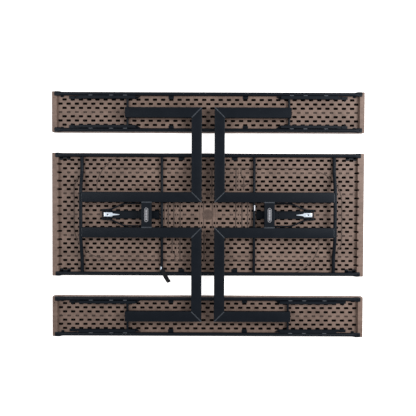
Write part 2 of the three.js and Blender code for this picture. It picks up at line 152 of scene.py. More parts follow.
def near(a, b, slack=HAIR):
    return abs(a - b) < slack


def shift(x=0, y=0, z=0):
    bpy.ops.transform.translate(value=(x, y, z))


def stretch(x=1, y=1, z=1, about=(0, 0, 0)):
    bpy.ops.transform.resize(value=(x, y, z), center_override=about)


def draw_out(x=0, y=0, z=0):
    """Extrudes the selected edges."""
    bpy.ops.mesh.extrude_edges_move(TRANSFORM_OT_translate={"value": (x, y, z)})


def push(x=0, y=0, z=0):
    """Extrudes the selected faces together."""
    bpy.ops.mesh.extrude_region_move(TRANSFORM_OT_translate={"value": (x, y, z)})


def weld(slack=HAIR):
    bpy.ops.mesh.select_all(action="SELECT")
    bpy.ops.mesh.remove_doubles(threshold=slack)


def cut(point, normal, **keep):
    """Cuts the whole piece by a plane."""
    bpy.ops.mesh.select_all(action="SELECT")
    bpy.ops.mesh.bisect(plane_co=point, plane_no=normal, **keep)


def face_up():
    """Turns the faces of an open sheet so that they look up."""
    bpy.ops.mesh.select_all(action="SELECT")
    bpy.ops.mesh.normals_make_consistent(inside=False)
    shape = bmesh.from_edit_mesh(bpy.context.edit_object.data)
    if sum(f.normal.z * f.calc_area() for f in shape.faces) < 0:
        bpy.ops.mesh.flip_normals()


def modify(piece, kind, **settings):
    """Adds a modifier and applies it."""
    only(piece)
    made = piece.modifiers.new(kind.lower(), kind)
    for name, value in settings.items():
        setattr(made, name, value)
    bpy.ops.object.modifier_apply(modifier=made.name)


def repeated(piece, count, x=0, y=0):
    modify(piece, "ARRAY", count=count, use_relative_offset=False, use_constant_offset=True,
           constant_offset_displace=(x, y, 0), use_merge_vertices=True, merge_threshold=HAIR)


def copied(piece, x=0, y=0, z=0):
    """A copy with its own mesh, moved by x, y and z."""
    copy = piece.copy()
    copy.data = piece.data.copy()
    copy.data.transform(Matrix.Translation((x, y, z)))
    bpy.context.collection.objects.link(copy)
    return copy


def joined(pieces, name):
    only(*pieces)
    bpy.ops.object.join()
    made = bpy.context.object
    made.name = made.data.name = name
    return made


def settle(piece):
    """Leaves the object at the origin, with its place in its mesh."""
    only(piece)
    bpy.ops.object.transform_apply(location=True, rotation=True, scale=True)
    return piece


def cylinder(radius, start, end, x=0, y=0, z=0, along="z", sides=24, ends=0.0006):
    """A round bar with softened ends, from start to end along one axis through x, y and z."""
    turn = {"x": (0, math.pi / 2, 0), "y": (math.pi / 2, 0, 0), "z": (0, 0, 0)}[along]
    spot = {"x": x, "y": y, "z": z}
    spot[along] += (start + end) / 2
    bpy.ops.mesh.primitive_cylinder_add(vertices=sides, radius=radius, depth=end - start, rotation=turn,
                                        location=tuple(spot.values()))
    made = settle(bpy.context.object)
    if ends:
        with editing(made):
            pick("EDGE", lambda e: any(len(f.verts) > 4 for f in e.link_faces))
            bpy.ops.mesh.bevel(offset=ends, segments=2, affect="EDGES")
    return made


def plate(x0, x1, y0, y1, z0, z1, corner=0.0, soft=0.0004):
    """A flat plate with rounded corners in plan and softened edges."""
    bpy.ops.mesh.primitive_cube_add(size=1, location=((x0 + x1) / 2, (y0 + y1) / 2, (z0 + z1) / 2),
                                    scale=(abs(x1 - x0), abs(y1 - y0), abs(z1 - z0)))
    made = settle(bpy.context.object)
    with editing(made):
        if corner:
            pick("EDGE", lambda e: abs((e.verts[0].co - e.verts[1].co).normalized().z) > 0.9)
            bpy.ops.mesh.bevel(offset=corner, segments=4, affect="EDGES")
        pick("EDGE", lambda e: e.calc_face_angle() > 0.6)
        bpy.ops.mesh.bevel(offset=soft, segments=1, affect="EDGES")
    return made


def mirror_copy(piece, name, x=1, y=1, shift_y=0):
    """A copy turned over in x or y, with its faces kept outwards."""
    copy = copied(piece)
    copy.name = copy.data.name = name
    with editing(copy):
        stretch(x, y)
        shift(y=shift_y)
        if x * y < 0:
            bpy.ops.mesh.select_all(action="SELECT")
            bpy.ops.mesh.normals_make_consistent(inside=False)
    return copy


# ---- Moulded boards ----


def pit_tile(pitch, size, lip, shoulder, drop):
    """One kiss-off pit in a flat tile at z = 0: a slot whose floor falls into two tapered wells."""
    bpy.ops.mesh.primitive_circle_add(vertices=12, radius=1)
    tile = bpy.context.object
    half_length, half_width = size * PIT_LENGTH / 2, size * PIT_WIDTH / 2
    with editing(tile):
        pick("VERT", lambda v: 0.4 < abs(v.co.x) < 0.6)
        stretch(1.44, 1.12)
        pick("VERT", lambda v: 0.8 < abs(v.co.x) < 0.95)
        stretch(1.08, 1.6)
        bpy.ops.mesh.select_all(action="SELECT")
        stretch(half_length, half_width)
        bpy.ops.mesh.primitive_plane_add(size=1)
        stretch(pitch, ROW_PITCH)
        bpy.ops.mesh.delete(type="ONLY_FACE")
        pick("EDGE", lambda e: near(abs(middle(e).y), ROW_PITCH / 2))
        bpy.ops.mesh.subdivide(number_cuts=1)
        bpy.ops.mesh.select_all(action="SELECT")
        bpy.ops.mesh.fill(use_beauty=True)
        pick("EDGE", lambda e: abs(middle(e).x) < half_length and abs(middle(e).y) < half_width + HAIR)
        draw_out(z=-lip)
        stretch(0.96, 0.92)
        for end in (-1, 1):
            pick("VERT", lambda v: near(v.co.z, -lip) and v.co.x * end > -HAIR)
            bpy.ops.mesh.edge_face_add()
        face_up()
        pick("FACE", lambda f: near(middle(f).z, -lip) and f.normal.z > 0.99)
        bpy.ops.mesh.inset(thickness=0.0006, depth=-shoulder, use_individual=True)
        bpy.ops.mesh.inset(thickness=0.0009, depth=-drop, use_individual=True)
    return tile


def blank_tile(start, end):
    bpy.ops.mesh.primitive_plane_add(size=1)
    tile = bpy.context.object
    with editing(tile):
        stretch(end - start, ROW_PITCH)
        shift(x=(start + end) / 2)
    return tile


def table_end_tile(start, pocket):
    """One row of the tabletop's end: slab, rim wall and rim top, with or without a pocket in the wall."""
    bpy.ops.mesh.primitive_cube_add(size=1)
    tile = bpy.context.object
    with editing(tile):
        stretch(HALF_LENGTH - start, ROW_PITCH, SLAB)
        shift((HALF_LENGTH + start) / 2, 0, -SLAB / 2)
        cut((TABLE_RIM_X, 0, 0), (1, 0, 0))
        pick("FACE", lambda f: f.normal.z > 0.9 and middle(f).x > TABLE_RIM_X)
        push(z=RIM_TOP - SLAB)
    if pocket:
        bpy.ops.mesh.primitive_cylinder_add(vertices=16, radius=POCKET_R, depth=POCKET_HEIGHT,
                                            location=(POCKET_X, 0, POCKET_FLOOR + POCKET_HEIGHT / 2))
        cutter = settle(bpy.context.object)
        with editing(cutter):
            pick("VERT", lambda v: v.co.x > POCKET_X + HAIR)
            shift(x=0.0135)
            pick("VERT", lambda v: v.co.z < 0)
            stretch(0.82, 0.7, 1, (0.875, 0, 0))
        modify(tile, "BOOLEAN", operation="DIFFERENCE", object=cutter, solver="EXACT")
        bpy.data.objects.remove(cutter)
    with editing(tile):
        if start < FIELD_END - HAIR:
            cut((FIELD_END, 0, 0), (1, 0, 0))
        outside = lambda f: (near(abs(middle(f).y), ROW_PITCH / 2) or near(middle(f).z, -SLAB)
                             or near(middle(f).x, start) or near(middle(f).x, HALF_LENGTH))
        pick("FACE", outside)
        bpy.ops.mesh.delete(type="FACE")
    return tile


# Past SQUEEZE_X the tabletop's pits close up a little towards the end rim
SQUEEZE_X = 14.5 * TABLE_PITCH
SQUEEZE = 0.94
FIELD_END = SQUEEZE_X + SQUEEZE * (PITS_ALONG * TABLE_PITCH - SQUEEZE_X)
EVEN_END = SQUEEZE_X + SQUEEZE * ((PITS_ALONG - 0.5) * TABLE_PITCH - SQUEEZE_X)


def pit_rows(pitch, reach, shallow_every, odd_count):
    """The right half of a field of staggered pits. Every so many rows the pits are shallow."""
    strips = {}
    for kind, shape in PIT_KINDS.items():
        tile = pit_tile(pitch, *shape)
        even, odd = copied(tile), copied(tile, x=pitch / 2)
        repeated(even, PITS_ALONG, x=pitch)
        repeated(odd, odd_count, x=pitch)
        strips[kind, 0], strips[kind, 1] = even, odd
        bpy.data.objects.remove(tile)
    rows = []
    for j in range(-reach, reach + 1):
        kind = "shallow" if j % shallow_every == 0 else "deep"
        rows.append(copied(strips[kind, j % 2], y=j * ROW_PITCH))
    for spare in strips.values():
        bpy.data.objects.remove(spare)
    return rows


def clear_centre():
    """Leaves out the pits round the tabletop's middle, where the boss stands."""
    def under_boss(f):
        x, y = abs(middle(f).x) / TABLE_PITCH, abs(middle(f).y) / ROW_PITCH
        return (y < 0.5 and x < 1.5) or (y < 1.5 and x < 1)
    pick("FACE", under_boss)
    bpy.ops.mesh.delete(type="FACE")


def board(name, half_width, rows, reach, rim_x=None):
    """Closes a moulded board round its right half's rows of pits, at z = 0 for the slab's underside.

    The rows reach the board's end, or an end rim is drawn out from rim_x."""
    made = joined(rows, name)
    edge = (reach + 0.5) * ROW_PITCH
    top = RIM_TOP - SLAB
    on_side = lambda e: all(near(abs(v.co.y), half_width) for v in e.verts)
    on_end = lambda e: all(near(v.co.x, HALF_LENGTH) for v in e.verts)
    level = lambda e, z: all(near(v.co.z, z) for v in e.verts)
    with editing(made):
        weld()
        cut((0, 0, 0), (1, 0, 0), clear_inner=True)
        for side in (-1, 1):
            pick("EDGE", lambda e: all(near(v.co.y, side * edge) for v in e.verts) and e.is_boundary)
            draw_out(y=side * (half_width - edge))
        if rim_x:
            end = max(v.co.x for v in bmesh.from_edit_mesh(made.data).verts)
            for out, up in ((rim_x - end, 0), (0, top), (HALF_LENGTH - rim_x, 0)):
                shape = bmesh.from_edit_mesh(made.data)
                x = max(v.co.x for v in shape.verts)
                z = max(v.co.z for v in shape.verts)
                pick("EDGE", lambda e: all(near(v.co.x, x) and near(v.co.z, z) for v in e.verts))
                draw_out(x=out, z=up)
        for start, drop in ((top, top), (0, SLAB)):
            pick("EDGE", lambda e: e.is_boundary and level(e, start) and (on_side(e) or on_end(e)))
            draw_out(z=-drop)
            weld()
    modify(made, "MIRROR", use_axis=(True, False, False), merge_threshold=HAIR)
    with editing(made):
        if not rim_x:
            pick("EDGE", lambda e: e.is_boundary and middle(e).xy.length < 0.1)
            bpy.ops.mesh.edge_face_add()
        pick("EDGE", lambda e: e.is_boundary)
        bpy.ops.mesh.edge_face_add()
        bpy.ops.mesh.select_all(action="SELECT")
        bpy.ops.mesh.normals_make_consistent(inside=False)
        outer = lambda e: near(abs(middle(e).y), half_width) or near(abs(middle(e).x), HALF_LENGTH)
        pick("EDGE", lambda e: outer(e) and len(e.link_faces) == 2 and e.calc_face_angle() > 0.5)
        bpy.ops.mesh.bevel(offset=BOARD_ROUNDING, segments=3, affect="EDGES")
        bpy.ops.mesh.select_all(action="SELECT")
        shift(z=SLAB)
    return made


def tabletop():
    """The tabletop, with its own end tiles: every other row's rim wall has a pocket."""
    field = joined(pit_rows(TABLE_PITCH, TABLE_ROWS, 5, PITS_ALONG), "field")
    with editing(field):
        weld()
        pick("VERT", lambda v: v.co.x > SQUEEZE_X)
        stretch(SQUEEZE, about=(SQUEEZE_X, 0, 0))
        clear_centre()
    ends = []
    for start, pocket, count in ((FIELD_END, False, TABLE_ROWS + 1), (EVEN_END, True, TABLE_ROWS)):
        strip = table_end_tile(start, pocket)
        repeated(strip, count, y=2 * ROW_PITCH)
        strip.data.transform(Matrix.Translation((0, (1 - count) * ROW_PITCH, 0)))
        ends.append(strip)
    return board("tabletop_moulding", TABLE_HALF, [field, *ends], TABLE_ROWS)


def seat():
    """A bench's seat. Only its centre row of pits is shallow."""
    last = PITS_ALONG - 0.5
    blank = blank_tile((PITS_ALONG - 1) * SEAT_PITCH, last * SEAT_PITCH)
    blanks = [copied(blank, y=j * ROW_PITCH) for j in range(-SEAT_ROWS, SEAT_ROWS + 1, 2)]
    bpy.data.objects.remove(blank)
    rows = pit_rows(SEAT_PITCH, SEAT_ROWS, SEAT_ROWS + 1, PITS_ALONG - 1)
    field = joined([*rows, *blanks], "field")
    with editing(field):
        weld()
        pick("VERT", lambda v: near(v.co.x, last * SEAT_PITCH))
        shift(x=SEAT_FIELD_END - last * SEAT_PITCH)
    return board("seat_moulding", SEAT_HALF, [field], SEAT_ROWS, SEAT_RIM_X)


def paint_shade_in_pits(piece, half_width, y):
    """Writes how deep each point lies in a pit, as painted shade for the moulding's finish: the deeper the
    point, the darker it is painted.
    """
    depth = piece.data.attributes.new("painted_pit_shade", "FLOAT", "POINT")
    for point, value in zip(piece.data.vertices, depth.data):
        inside = abs(point.co.y - y) < half_width - 0.008 and abs(point.co.x) < HALF_LENGTH - 0.02
        # Painted shade: none at the pit's edge, full (near-black) PIT_SHADE below it.
        fallen = (SLAB - PIT_EDGE - point.co.z) / PIT_SHADE
        value.value = min(1, max(0, fallen)) if inside and point.co.z > PIT_SHADE else 0


def planks(piece, lines):
    """Cuts shallow grooves along the upper face, which lies on z = 0."""
    on_line = lambda v: near(v.co.z, 0) and any(near(v.co.y, y) for y in lines)
    with editing(piece):
        for y in lines:
            pick("FACE", lambda f: near(middle(f).z, 0) and f.normal.z < -0.99)
            bpy.ops.mesh.bisect(plane_co=(0, y, 0), plane_no=(0, 1, 0))
        pick("EDGE", lambda e: all(on_line(v) for v in e.verts))
        bpy.ops.mesh.bevel(offset=0.0022, segments=2, affect="EDGES")
        pick("VERT", on_line)
        shift(z=0.0016)


def vent(piece, x, y, radius=0.003):
    """A round vent hole in the left end rim."""
    def over(f):
        xs, ys = [v.co.x for v in f.verts], [v.co.y for v in f.verts]
        return (near(middle(f).z, RIM_TOP) and f.normal.z > 0.99
                and min(xs) < x < max(xs) and min(ys) < y < max(ys))
    with editing(piece):
        pick("FACE", over)
        bpy.ops.mesh.inset(thickness=0.004)
        face = next(f for f in bmesh.from_edit_mesh(piece.data).faces if f.select)
        spot = middle(face).copy()
        wide = max(v.co.x for v in face.verts) - min(v.co.x for v in face.verts)
        tall = max(v.co.y for v in face.verts) - min(v.co.y for v in face.verts)
        stretch(2 * radius / wide, 2 * radius / tall, 1, spot)
        shift(x - spot.x, y - spot.y)
        bpy.ops.mesh.bevel(offset=0.55 * radius, segments=3, affect="VERTICES")
        pick("FACE", lambda f: (middle(f) - Vector((x, y, RIM_TOP))).length < radius * 0.5)
        push(z=-0.004)


def shaded(piece, shade):
    """Writes painted shade on a raised piece, in the attribute that the moulding's pits use: shade at its foot,
    less of it on its crown.
    """
    depth = piece.data.attributes.new("painted_pit_shade", "FLOAT", "POINT")
    crown = max(v.co.z for v in piece.data.vertices)
    for point, value in zip(piece.data.vertices, depth.data):
        fall = min(1, max(0, (crown - point.co.z) / (crown - SLAB)))
        # Painted shade: full at the foot, 0.7 of it on the crown.
        value.value = shade * (0.7 + 0.3 * fall)
    return piece


def moulded_rib(points, width, height, shade):
    """A low rounded rib on the slab's underside, drawn out through points in plan, with painted shade over it,
    darkest at its foot.
    """
    spots = [Vector((x, y, 0)) for x, y in points]
    steps = [(b - a).normalized() for a, b in zip(spots, spots[1:])]
    steps = [steps[0], *[(a + b).normalized() for a, b in zip(steps, steps[1:])], steps[-1]]
    bpy.ops.mesh.primitive_circle_add(vertices=10, radius=1, fill_type="NGON")
    made = bpy.context.object
    with editing(made):
        stretch(width / 2, height, 1)
        for _ in spots[1:]:
            push(z=1)
        shape = bmesh.from_edit_mesh(made.data)
        for v in shape.verts:
            k = round(v.co.z)
            across = Vector((-steps[k].y, steps[k].x, 0))
            v.co = spots[k] + across * v.co.x + Vector((0, 0, SLAB + v.co.y))
        bmesh.update_edit_mesh(made.data)
        bpy.ops.mesh.select_all(action="SELECT")
        bpy.ops.mesh.normals_make_consistent(inside=False)
    return shaded(made, shade)


def arc(x, y, radius, start, end, steps=14):
    """Points round a centre in plan, between two angles in degrees."""
    turns = [math.radians(start + (end - start) * i / steps) for i in range(steps + 1)]
    return [(x + radius * math.cos(t), y + radius * math.sin(t)) for t in turns]


def boss():
    """Round boss in the middle of the tabletop: a raised ring, a sunk face and a smaller ring on it, with
    painted shade over it, darkest at its foot.
    """
    made = cylinder(0.0315, -0.004, 0.0022, z=SLAB, sides=48)
    with editing(made):
        for inset, fall in ((0.0035, 0), (0.0012, -0.0016), (0.008, 0), (0.0012, 0.0010),
                            (0.003, 0), (0.0012, -0.0010)):
            pick("FACE", lambda f: f.normal.z > 0.99 and len(f.verts) == 48)
            bpy.ops.mesh.inset(thickness=inset)
            shift(z=fall)
    # Painted shade over the whole boss.
    return shaded(made, 0.38)


# Raised lines of the tabletop's underside, each repeated half a turn round: points, width, height, shade
# (painted shade laid over the line, darkest at its foot)
LONG_LINE, HIGH_RIB, PANEL_LINE = (0.006, 0.0010, 0.6), (0.009, 0.0026, 0), (0.007, 0.0016, 0.62)
SIDE_LINE = (0.005, 0.0010, 0.7)
RELIEF = [
    (arc(0.457, -0.150, 0.200, -85, 0) + [(0.657, -0.060)], *LONG_LINE),
    (arc(0.600, 0.070, 0.190, 80, 0) + [(0.790, -0.130)] + arc(0.706, -0.150, 0.084, -5, -60, 6), *LONG_LINE),
    ([(-0.470, 0.164), (-0.300, 0.164)], *HIGH_RIB),
    ([(-0.235, 0.164), (-0.165, 0.164)], *HIGH_RIB),
    ([(-0.650, -0.2745), (-0.099, -0.2745)], *SIDE_LINE),
    ([(0.099, -0.2745), (0.560, -0.2745)], *SIDE_LINE),
    ([(0.165, 0.145), (0.165, 0.270)], *PANEL_LINE),
    ([(0.211, 0.145), (0.211, 0.224), (0.195, 0.232), (0.195, 0.277)], *PANEL_LINE),
    ([(0.182, 0.145), (0.182, 0.277)], 0.007, 0.0020, 0),
    (arc(0.205, 0.240, 0.066, -115, -60, 8), 0.006, 0.0014, 0.62),
    ([(0.022, 0.095), (0.022, 0.277)], 0.007, 0.0018, 0.6),
]
# Ribs across the middle: x, half length, width, shade (painted shade laid over the rib)
RIBS = [(0.254, 0.050, 0.008, 0), (0.234, 0.078, 0.008, 0.6), (0.201, 0.078, 0.007, 0.62),
        (0.186, 0.078, 0.005, 0), (0.164, 0.078, 0.006, 0.6), (0.046, 0.078, 0.006, 0),
        (0.026, 0.078, 0.005, 0.5)]
RELIEF += [([(x, -reach), (x, reach)], width, 0.0020, shade) for x, reach, width, shade in RIBS]


def table_relief():
    """The moulded lines, ribs and boss of the tabletop's underside."""
    lines = [boss()]
    for side in (-1, 1):
        for points, width, height, shade in RELIEF:
            lines.append(moulded_rib([(side * x, side * y) for x, y in points], width, height, shade))
    return lines


# ---- Finishes ----


class Value:
    """A shader socket that takes part in arithmetic. Each operator adds its Math node."""

    def __init__(self, finish, socket):
        self.finish, self.socket = finish, socket

    def math(self, operation, *inputs, clamp=False):
        values = dict(enumerate(inputs))
        return self.finish.node("Math", {"operation": operation, "use_clamp": clamp}, values)

    def __add__(self, other): return self.math("ADD", self, other)
    def __radd__(self, other): return self.math("ADD", other, self)
    def __sub__(self, other): return self.math("SUBTRACT", self, other)
    def __rsub__(self, other): return self.math("SUBTRACT", other, self)
    def __mul__(self, other): return self.math("MULTIPLY", self, other)
    def __rmul__(self, other): return self.math("MULTIPLY", other, self)
    def __truediv__(self, other): return self.math("DIVIDE", self, other)
    def __rtruediv__(self, other): return self.math("DIVIDE", other, self)

    def limited(self):
        return self.math("ADD", self, 0, clamp=True)

    def sine(self):
        return self.math("SINE", self)

    def spread(self, low, high):
        """0 below low and 1 above high."""
        return ((self - low) / (high - low)).limited()


class Finish:
    """A material in the making, on Object coordinates."""

    def __init__(self, name, color, roughness, metallic=0.0, **uniform):
        self.material = bpy.data.materials.new(name)
        self.material.use_nodes = True
        self.tree = self.material.node_tree
        self.shader = self.tree.nodes["Principled BSDF"]
        self.put(Base_Color=(*color, 1), Roughness=roughness, Metallic=metallic, **uniform)
        self.place = self.node("TexCoord", {}, {}, output="Object")

    def put(self, **inputs):
        for name, value in inputs.items():
            self.feed(self.shader.inputs[name.replace("_", " ")], value)

    def feed(self, socket, value):
        if isinstance(value, Value):
            self.tree.links.new(value.socket, socket)
        else:
            socket.default_value = value

    def node(self, kind, settings, inputs, output=0):
        """Adds a node. Its settings are set first, then the values or links of its sockets."""
        made = self.tree.nodes.new("ShaderNode" + kind)
        for name, value in settings.items():
            setattr(made, name, value)
        for name, value in inputs.items():
            self.feed(made.inputs[name], value)
        return Value(self, made.outputs[output])

    def noise(self, scale, detail=2.0, stretch=None, roughness=0.5):
        place = self.place
        if stretch:
            place = self.node("Mapping", {}, {"Vector": self.place, "Scale": stretch})
        inputs = {"Vector": place, "Scale": scale, "Detail": detail, "Roughness": roughness}
        return self.node("TexNoise", {}, inputs)

    def axis(self, name, place):
        return self.node("SeparateXYZ", {}, {"Vector": place}, output=name)

    def mixed(self, factor, first, second):
        """A colour between two, each a colour or another mix."""
        full = lambda c: c if isinstance(c, Value) else (*c, 1)
        settings = {"data_type": "RGBA", "clamp_factor": True}
        return self.node("Mix", settings, {0: factor, 6: full(first), 7: full(second)}, output=2)

    def bumped(self, height, distance, strength=1.0):
        inputs = {"Height": height, "Distance": distance, "Strength": strength}
        self.put(Normal=self.node("Bump", {}, inputs))


def moulding_finish():
    """Taupe blow-moulded polyethylene: cloudy colour, fine pebble, soft ripple. Pits, dark ribs and the boss
    carry painted shade, darker with depth.
    """
    made = Finish("moulded_taupe", (0.17, 0.115, 0.093), 0.55, Specular_IOR_Level=0.3)
    cloud = made.noise(7, 3)
    speck = made.noise(420, 2)
    streak = made.noise(9, 3, stretch=(1, 14, 1))
    blotch = made.noise(45, 3)
    tone = (cloud * 0.35 + blotch * 0.35 + speck * 0.15 + streak * 0.15).spread(0.38, 0.62)
    body = made.mixed(tone, (0.128, 0.085, 0.068), (0.232, 0.160, 0.130))
    # Painted shade: the pit attribute mixes the body colour towards near-black in the pits, on the dark ribs
    # and on the boss.
    depth = made.node("Attribute", {"attribute_name": "painted_pit_shade"}, {}, output="Fac")
    deep = depth.spread(0.0, 0.8)
    made.put(Base_Color=made.mixed(deep, body, (0.006, 0.004, 0.004)))
    made.put(Roughness=0.48 + speck * 0.14 + deep * 0.2)
    made.bumped(made.noise(900, 3) * 0.6 + made.noise(75, 2) * 1.6, 0.0004, 0.5)
    return made.material


def coat_finish(name, dark, light, shine, ripple=0.35):
    """Near-black powder coat with an orange-peel skin, faint scuffs and dust."""
    made = Finish(name, dark, 0.4, Specular_IOR_Level=shine, Specular_Tint=(0.84, 0.92, 1, 1))
    cloud = made.noise(16, 3)
    peel = made.noise(480, 2)
    scuff = made.noise(55, 5, stretch=(1, 1, 6), roughness=0.65).spread(0.63, 0.72)
    wear = (cloud * 0.7 + scuff * 0.5 + peel * 0.2).spread(0.25, 0.95)
    made.put(Base_Color=made.mixed(wear, dark, light))
    made.put(Roughness=0.36 + peel * 0.12 + scuff * 0.18)
    made.bumped(peel + made.noise(1500, 1) * 0.4, 0.0003, ripple)
    return made.material


def zinc_finish():
    """Bright zinc plating with a faint spangle and handling marks."""
    made = Finish("bright_zinc", (0.7, 0.74, 0.79), 0.32, 0.35)
    grain = made.node("TexVoronoi", {}, {"Vector": made.place, "Scale": 320.0}, output="Distance")
    brush = made.noise(60, 4, stretch=(1, 9, 1))
    spangle = (grain * 0.6 + brush * 0.6).spread(0.2, 0.9)
    made.put(Base_Color=made.mixed(spangle, (0.80, 0.89, 0.98), (0.62, 0.70, 0.80)))
    made.put(Roughness=0.26 + brush * 0.22)
    made.bumped(grain + brush, 0.0002, 0.25)
    return made.material


def nylon_finish():
    """Black nylon with a fine matt grain."""
    made = Finish("black_nylon", (0.016, 0.016, 0.018), 0.5)
    grain = made.noise(700, 2)
    made.put(Base_Color=made.mixed(grain, (0.011, 0.011, 0.013), (0.026, 0.026, 0.029)))
    made.put(Roughness=0.42 + grain * 0.2)
    made.bumped(grain, 0.0003, 0.4)
    return made.material


def webbing_finish(heading):
    """Black webbing: ribs across the tape and a fine twill along it."""
    made = Finish("black_webbing", (0.012, 0.012, 0.014), 0.85, Specular_IOR_Level=0.2)
    turned = made.node("Mapping", {}, {"Vector": made.place, "Rotation": (0, 0, -heading)})
    along, across = made.axis("X", turned), made.axis("Y", turned)
    rib = (along * 2600).sine() * 0.5 + 0.5
    twill = ((along + across) * 4200).sine() * 0.5 + 0.5
    weave = rib * 0.6 + twill * 0.4
    made.put(Base_Color=made.mixed(weave, (0.003, 0.003, 0.004), (0.012, 0.012, 0.015)))
    made.put(Roughness=0.75 + weave * 0.15)
    made.bumped(weave, 0.0006, 0.7)
    return made.material


def foil_finish():
    """Blank silvery label foil, lightly brushed along its length."""
    made = Finish("label_foil", (0.46, 0.47, 0.5), 0.35, 0.6)
    brush = made.noise(90, 4, stretch=(14, 1, 1))
    made.put(Base_Color=made.mixed(brush.spread(0.3, 0.7), (0.36, 0.365, 0.4), (0.55, 0.56, 0.6)))
    made.put(Roughness=0.3 + brush * 0.2)
    made.bumped(brush, 0.0002, 0.3)
    return made.material


def floor_finish():
    """Plain pale floor."""
    made = Finish("studio_floor", (0.9, 0.9, 0.9), 0.9)
    made.put(Emission_Color=(1, 1, 1, 1), Emission_Strength=0.8)
    return made.material


MOULDING = moulding_finish()
COAT = coat_finish("powder_coat_black", (0.0036, 0.0054, 0.0088), (0.0085, 0.0108, 0.0155), 0.15)
# The stitch welds are painted pale: painted glints along the rail and track joints, besides the real highlights
# from their gloss.
STITCH = coat_finish("weld_with_painted_glint", (0.05, 0.057, 0.07), (0.12, 0.13, 0.145), 0.5, 0.6)
# The frame weld beads are painted paler than the coat: painted highlight along the weld lines, besides the real
# highlights from their gloss.
WELD = coat_finish("coated_weld", (0.02, 0.024, 0.032), (0.045, 0.051, 0.062), 0.5, 0.6)
ZINC = zinc_finish()
NYLON = nylon_finish()
FOIL = foil_finish()


def finished(piece, material, slot, body, *stands_for):
    """Gives a settled piece its finish and its body, and hides the CAD nodes that it stands in for."""
    settle(piece)
    piece.data.materials.clear()
    piece.data.materials.append(material)
    if stands_for:
        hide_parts(*stands_for)
    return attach(piece, body)


def smooth(piece, angle=35):
    only(piece)
    bpy.ops.object.shade_smooth_by_angle(angle=math.radians(angle))
    return piece


# ---- Boards in place ----
top = tabletop()
planks(top, (-0.181, 0, 0.181))
vent(top, VENT_X, TABLE_VENT_Y)
paint_shade_in_pits(top, TABLE_HALF, 0)
top = joined([top, *table_relief()], "tabletop_moulding")
smooth(top)
finished(top, MOULDING, "moulding", "table", "tabletop")

bench_master = seat()
planks(bench_master, (0,))
vent(bench_master, VENT_X, SEAT_VENT_Y)
for row, side in ROWS.items():
    bench = copied(bench_master, y=side * SEAT_Y)
    bench.name = bench.data.name = f"{row}_seat_moulding"
    paint_shade_in_pits(bench, SEAT_HALF, side * SEAT_Y)
    smooth(bench)
    finished(bench, MOULDING, "moulding", f"{row}_bench", f"{row}_seat")
bpy.data.objects.remove(bench_master)

# ---- Steel pieces ----


def pressed_rail(name, end, tabs):
    """Round rail along X about its centre line, its ends pressed flat and lifted on to the end rims."""
    made = cylinder(RAIL_R, -end, end, along="x", ends=0)
    rings = {0.850: 0, 0.857: 0.18, 0.863: 0.5, 0.869: 0.82, 0.876: 1,  # x: how flat
             end - 0.007: 1, end - 0.0025: 1, end: 1}
    tongue = {end - 0.0025: 0.94, end: 0.74}
    with editing(made):
        for x in rings:
            for side in (-1, 1):
                if x < end:
                    cut((side * x, 0, 0), (1, 0, 0))
        for x, flat in rings.items():
            pick("VERT", lambda v: near(abs(v.co.x), x))
            stretch(1, (1 + 0.245 * flat) * tongue.get(x, 1), 1 - 0.79 * flat)
            shift(z=RAIL_LIFT * flat)
        pick("EDGE", lambda e: any(len(f.verts) > 4 for f in e.link_faces))
        bpy.ops.mesh.bevel(offset=0.0008, segments=2, affect="EDGES")
    ears = [plate(x - w / 2, x + w / 2, -RAIL_R - reach, -0.004, TAB_BOTTOM - RAIL_Z, TAB_TOP - RAIL_Z, 0.004)
            for x, w, reach in tabs]
    return joined([made, *ears], name)


def screw(x, y, z, radius=0.0042):
    """Pan-head screw with a round socket, its head standing on z."""
    made = cylinder(radius, 0, 0.0026, x, y, z, sides=20, ends=0.001)
    with editing(made):
        pick("FACE", lambda f: f.normal.z > 0.99)
        bpy.ops.mesh.inset(thickness=radius * 0.3)
        push(z=-0.0012)
        stretch(0.8, 0.8, 1, (x, y, 0))
    return made


def bead(x, y, z, length, heading, width=0.008, height=0.0022):
    """A weld bead of overlapping ripples, from one point along a heading in plan."""
    step = 0.0022
    bpy.ops.mesh.primitive_uv_sphere_add(segments=10, ring_count=6, radius=1)
    made = bpy.context.object
    with editing(made):
        stretch(0.0032, width / 2, height)
        pick("VERT", lambda v: v.co.z < 0)
        stretch(1, 1, 0.4)
    modify(made, "ARRAY", count=int(length / step), use_relative_offset=False, use_constant_offset=True,
           constant_offset_displace=(step, 0, 0))
    made.data.transform(Matrix.Translation((x, y, z)) @ Matrix.Rotation(math.radians(heading), 4, "Z"))
    return made


def leg_beam(node, mitres, open_end=False):
    """Rectangular tube of one CAD beam, with rounded corners and mitred ends."""
    low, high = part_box(node)
    low, high = Vector(low), Vector(high)
    bpy.ops.mesh.primitive_cube_add(size=1, location=(low + high) / 2, scale=high - low)
    made = settle(bpy.context.object)
    with editing(made):
        for point, normal, keep in mitres:
            cut((*point, 0), (*normal, 0), use_fill=True, **{keep: True})
        long = lambda e: e.calc_length() > 0.1 and near(e.verts[0].co.z, e.verts[1].co.z)
        pick("EDGE", lambda e: long(e) and e.calc_face_angle() > 1)
        bpy.ops.mesh.bevel(offset=0.004, segments=4, affect="EDGES")
        if open_end:
            pick("FACE", lambda f: near(middle(f).x, high.x))
            bpy.ops.mesh.inset(thickness=TUBE_WALL)
            push(x=-0.03)
    return made


